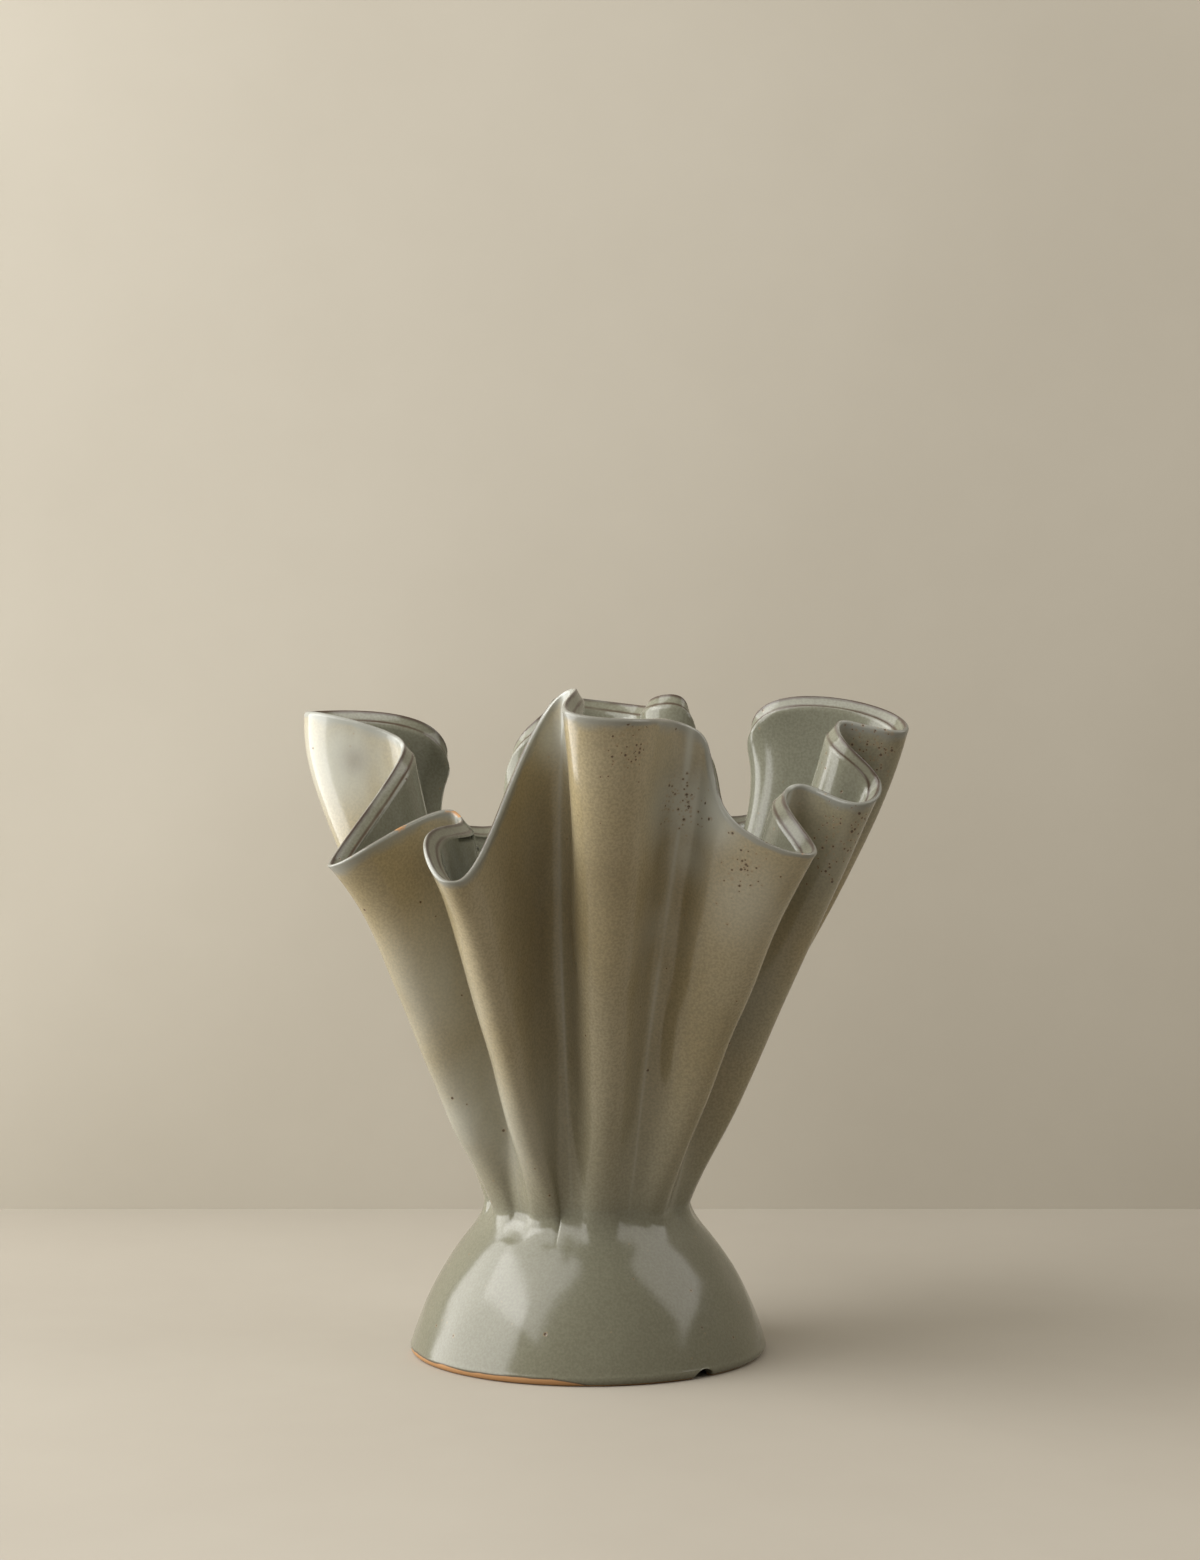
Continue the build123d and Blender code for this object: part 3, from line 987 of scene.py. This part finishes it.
@dataclass
class FlaredFoot:
    """The hollow foot, turned as a grid. Sizes in millimetres from its axis and the table."""

    axis: Pair
    height: float = 61.0
    radius: float = 84.6
    shoulder: float = 49.5
    shoulder_round: float = 16.0
    dome: float = 3.5
    wall: float = 8.0
    top: float = 8.0
    edge_round: float = 3.0
    inner_round: float = 6.0
    notch_width: float = 11.5
    notch_height: float = 4.2
    notch_azimuth: float = 309.5
    belly_top: float = 52.0
    columns: int = 1440

    def skin_radius(self, z: np.ndarray | float) -> np.ndarray:
        """Radius of the foot's skin at heights from its side to the top of its shoulder."""
        points = self.shoulder_points() + self.side[1:]
        return np.interp(-z, [-p[1] for p in points], [p[0] for p in points])

    @property
    def side(self) -> list[Pair]:
        """Points down the foot's domed side, between its rounded edges."""
        shoulder, lower = self.shoulder_points(), self.edge_points()
        return arc(shoulder[-1], lower[0], self.dome * 0.93, 40)

    def slope(self) -> Pair:
        """Unit direction down the foot's side."""
        run, fall = self.radius - self.shoulder, self.height
        length = math.hypot(run, fall)
        return run / length, -fall / length

    def shoulder_points(self) -> list[Pair]:
        """Points of the rounded shoulder."""
        down = self.slope()
        chord = math.hypot(self.radius - self.shoulder, self.height)
        swing = math.atan(4 * self.dome / chord)
        along = down[0] * math.cos(swing) - down[1] * math.sin(swing)
        fall = down[0] * math.sin(swing) + down[1] * math.cos(swing)
        return rounded((self.shoulder, self.height), (-1.0, 0.0), (along, fall), self.shoulder_round, 17)

    def edge_points(self) -> list[Pair]:
        """Points of the rounded bottom edge."""
        down = self.slope()
        return rounded((self.radius - 0.4, 0.0), (-down[0], -down[1]), (-1.0, 0.0), self.edge_round, 11)

    def profile(self) -> list[Pair]:
        """Half section from the middle of the top, down the outside and up the hollow."""
        down = self.slope()
        up = (-down[0], -down[1])
        slope = (self.radius - self.shoulder) / self.height
        hollow_top = self.height - self.top
        hollow = self.shoulder + slope * self.top - self.wall
        ring = self.radius - self.wall
        shoulder, lower = self.shoulder_points(), self.edge_points()
        outer = self.side[1:-1]
        lip = rounded((ring, 0.0), (1.0, 0.0), up, 2.0, 7)
        inner_corner = rounded((hollow, hollow_top), down, (-1.0, 0.0), self.inner_round, 9)
        inner = arc(lip[-1], inner_corner[0], -self.dome * 0.9, 24)[1:-1]
        floor = [(r, 0.0) for r in np.linspace(lower[-1][0], lip[0][0], 6)[1:-1]]
        cap = [(r, self.height) for r in (6.0, 20.0, 36.0)]
        ceiling = [(r, hollow_top) for r in (30.0, 16.0, 5.0)]
        return cap + shoulder + outer + lower + floor + lip + inner + inner_corner + ceiling

    def notch_roof(self, turn: np.ndarray, radius: np.ndarray) -> np.ndarray:
        """Height of the arched notch.

        Args:
            turn: azimuth of each column in radians.
            radius: radius at each point of the grid.

        Returns:
            The arch's height at each point, 0 outside the notch.
        """
        half = self.notch_width / 2
        arch = (half**2 + self.notch_height**2) / (2 * self.notch_height)
        offset = (turn - math.radians(self.notch_azimuth) + math.pi) % (2 * math.pi) - math.pi
        sideways = np.abs(offset[None, :]) * radius
        roof = np.sqrt(np.maximum(arch**2 - sideways**2, 0.0)) - (arch - self.notch_height)
        return np.where(sideways < half, roof, 0.0)

    def build(self, material: bpy.types.Material) -> bpy.types.Object:
        """Make the foot's mesh, its stored values and its finish.

        Args:
            material: the glaze with its bare clay edge.

        Returns:
            The foot's object.
        """
        profile = np.array(self.profile())
        turn = np.linspace(0, 2 * math.pi, self.columns, endpoint=False)
        radius = np.repeat(profile[:, :1], self.columns, axis=1)
        z = np.repeat(profile[:, 1:], self.columns, axis=1)
        wave = 0.22 * np.sin(3 * turn + 0.6) + 0.16 * np.sin(7 * turn + 2.2) + 0.1 * np.sin(13 * turn + 1.0)
        belly = np.sin(np.clip(z / self.belly_top, 0, 1) * math.pi)
        ripple = 0.1 * np.sin(11 * turn[None, :] + z * 0.19)
        ripple = ripple + 0.08 * np.sin(17 * turn[None, :] - z * 0.13 + 1.3)
        radius = radius + (wave[None, :] + ripple - 0.3) * belly
        near_edge = profile[:, :1] > self.radius - self.wall - 8
        z = np.where(near_edge, np.maximum(z, self.notch_roof(turn, radius)), z)
        points = np.stack([radius * np.cos(turn), radius * np.sin(turn), z], axis=-1).reshape(-1, 3)
        cap_centre, hollow_centre = len(points), len(points) + 1
        middle = [[0.0, 0.0, self.height], [0.0, 0.0, self.height - self.top]]
        points = np.concatenate([points, np.array(middle)])
        rows = len(profile)
        quads = grid_faces(rows, self.columns)[:, ::-1]
        last = (np.arange(self.columns) + (rows - 1) * self.columns)[::-1]
        cap_fan = np.concatenate([[cap_centre], np.arange(self.columns)])
        fans = [cap_fan, np.concatenate([[hollow_centre], last])]
        place = (points + np.array([self.axis[0], self.axis[1], 0.0])) * MM
        low, high = (np.array(corner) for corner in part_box("flared_foot"))
        place = np.clip(place, low, high)
        made = make_object("foot_glazed", place, quads, fans)
        azimuth = np.tile(np.degrees(turn), rows)
        front_left = smooth_step((azimuth - 168) / 24) * (1 - smooth_step((azimuth - 258) / 22))
        behind = 0.55 * smooth_step((azimuth - 40) / 30) * (1 - smooth_step((azimuth - 120) / 30))
        limit = -1.4 + 4.4 * np.maximum(front_left, behind)
        bare = limit - points[:-2, 2] + 30.0 * (points[:-2, 2] < 0.4)
        plain = {"rim_mm": -99.0, "speck": 0.006, "smudge": 0.0, "sage": 0.75, "moss": 1.0, "pool_and_highlight": 0.0}
        for name, value in plain.items():
            store(made, name, np.full(len(place), value))
        store(made, "bare_mm", np.append(bare, [-9.0, -9.0]))
        made.data.materials.append(material)
        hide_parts("flared_foot")
        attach(made, "root")
        log.info("foot: %d vertices, %d faces", len(made.data.vertices), len(made.data.polygons))
        return made


@dataclass
class SlipJoint:
    """The ring of joining slip, which keeps its solid."""

    node: str = "slip_joint"

    def build(self, material: bpy.types.Material) -> bpy.types.Object:
        """Dress the slip and return its object."""
        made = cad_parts[self.node]
        made.data.materials.clear()
        made.data.materials.append(material)
        log.info("slip: %d faces", len(made.data.polygons))
        return made


# Studio


@dataclass
class Studio:
    """Floor, backdrop, lights and camera, in metres about the foot's axis."""

    axis: Pair
    wall_distance: float = 0.382
    room: Colour = (0.24, 0.216, 0.178, 1.0)
    room_strength: float = 1.25
    camera_place: Triple = (0.0055, -1.514, 0.3209)
    camera_tilt: float = 2.2
    focal_pixels: float = 3300.0
    picture_height: float = 1560.0
    sensor: float = 36.0

    def plane(self, name: str, corners: list, material: bpy.types.Material) -> bpy.types.Object:
        """Make a flat sheet of the set from its four corners."""
        mesh = bpy.data.meshes.new(name)
        mesh.from_pydata(corners, [], [[0, 1, 2, 3]])
        made = bpy.data.objects.new(name, mesh)
        made.data.materials.append(material)
        bpy.context.scene.collection.objects.link(made)
        return made

    def softbox(
        self, name: str, place: Triple, aim: Triple, size: Pair, power: float, colour: Triple
    ) -> None:
        """Add a rectangular light.

        Args:
            name: the light's name.
            place: its centre.
            aim: the point it faces.
            size: width and height.
            power: watts.
            colour: linear colour.
        """
        lamp = bpy.data.lights.new(name, "AREA")
        lamp.shape = "RECTANGLE"
        lamp.size, lamp.size_y = size
        lamp.energy = power
        lamp.color = colour
        made = bpy.data.objects.new(name, lamp)
        made.location = place
        made.visible_camera = False
        away = np.array(aim) - np.array(place)
        yaw = math.atan2(away[1], away[0]) - math.pi / 2
        pitch = math.atan2(away[2], math.hypot(away[0], away[1])) + math.pi / 2
        made.rotation_euler = (pitch, 0.0, yaw)
        bpy.context.scene.collection.objects.link(made)

    def build(self) -> None:
        """Build the set, the lights, the world and the camera."""
        ax, ay = self.axis
        back = ay + self.wall_distance
        floor_finish = PlasterFinish((0.385, 0.355, 0.3, 1.0), (0.352, 0.32, 0.268, 1.0))
        wall_finish = PlasterFinish((0.45, 0.418, 0.352, 1.0), (0.408, 0.375, 0.311, 1.0))
        left, right, front, tall = -0.6, 1.2, -1.0, 1.6
        floor = [(left, front, 0), (right, front, 0), (right, back, 0), (left, back, 0)]
        wall = [(left, back, 0), (right, back, 0), (right, back, tall), (left, back, tall)]
        self.plane("floor", floor, floor_finish.build("Floor plaster"))
        self.plane("backdrop", wall, wall_finish.build("Wall plaster"))
        body, low = (ax, ay, 0.3), (ax, ay, 0.08)
        self.softbox("left_window", (ax - 1.6, ay - 0.1, 0.45), body, (2.1, 2.3), 70.0, (1.0, 0.995, 0.985))
        self.softbox("skylight", (ax - 0.95, ay - 0.45, 1.35), low, (1.7, 1.3), 24.5, (1.0, 0.99, 0.97))
        self.softbox("right_fill", (ax + 1.2, ay + 0.05, 1.15), low, (1.5, 1.1), 11.0, (1.0, 0.97, 0.92))
        world = bpy.data.worlds.new("Studio")
        world.use_nodes = True
        light = world.node_tree.nodes["Background"]
        light.inputs["Color"].default_value = self.room
        light.inputs["Strength"].default_value = self.room_strength
        bpy.context.scene.world = world
        self.camera()
        bpy.context.scene.view_settings.view_transform = "Standard"

    def camera(self) -> None:
        """Add the camera at the photograph's angle."""
        x, y, z = self.camera_place
        lens = bpy.data.cameras.new("photo_camera")
        lens.sensor_fit = "VERTICAL"
        lens.sensor_height = self.sensor
        lens.lens = self.focal_pixels / self.picture_height * self.sensor
        camera = bpy.data.objects.new("photo_camera", lens)
        camera.location = (self.axis[0] + x, self.axis[1] + y, z)
        camera.rotation_euler = (math.radians(90 - self.camera_tilt), 0.0, 0.0)
        bpy.context.scene.collection.objects.link(camera)
        bpy.context.scene.camera = camera


def foot_axis() -> Pair:
    """The foot's axis in millimetres, from the middle of its solid's box."""
    low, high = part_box("flared_foot")
    return (low[0] + high[0]) / 2 / MM, (low[1] + high[1]) / 2 / MM


def main() -> None:
    """Build the vase and its studio in order."""
    logging.basicConfig(level=logging.INFO, format="%(name)s %(message)s")
    axis = foot_axis()
    groups = GroupLibrary()
    foot = FlaredFoot(axis)
    bowl = PleatedBowl(axis, foot)
    glaze = GlazeFinish()
    bowl.build(glaze.build("Bowl glaze", groups, bowl.bevel_length()))
    foot.build(glaze.build("Foot glaze", groups, bowl.bevel_length()))
    SlipJoint().build(SlipFinish().build("Slip"))
    Studio((axis[0] * MM, axis[1] * MM)).build()


if __name__ == "__main__":
    main()
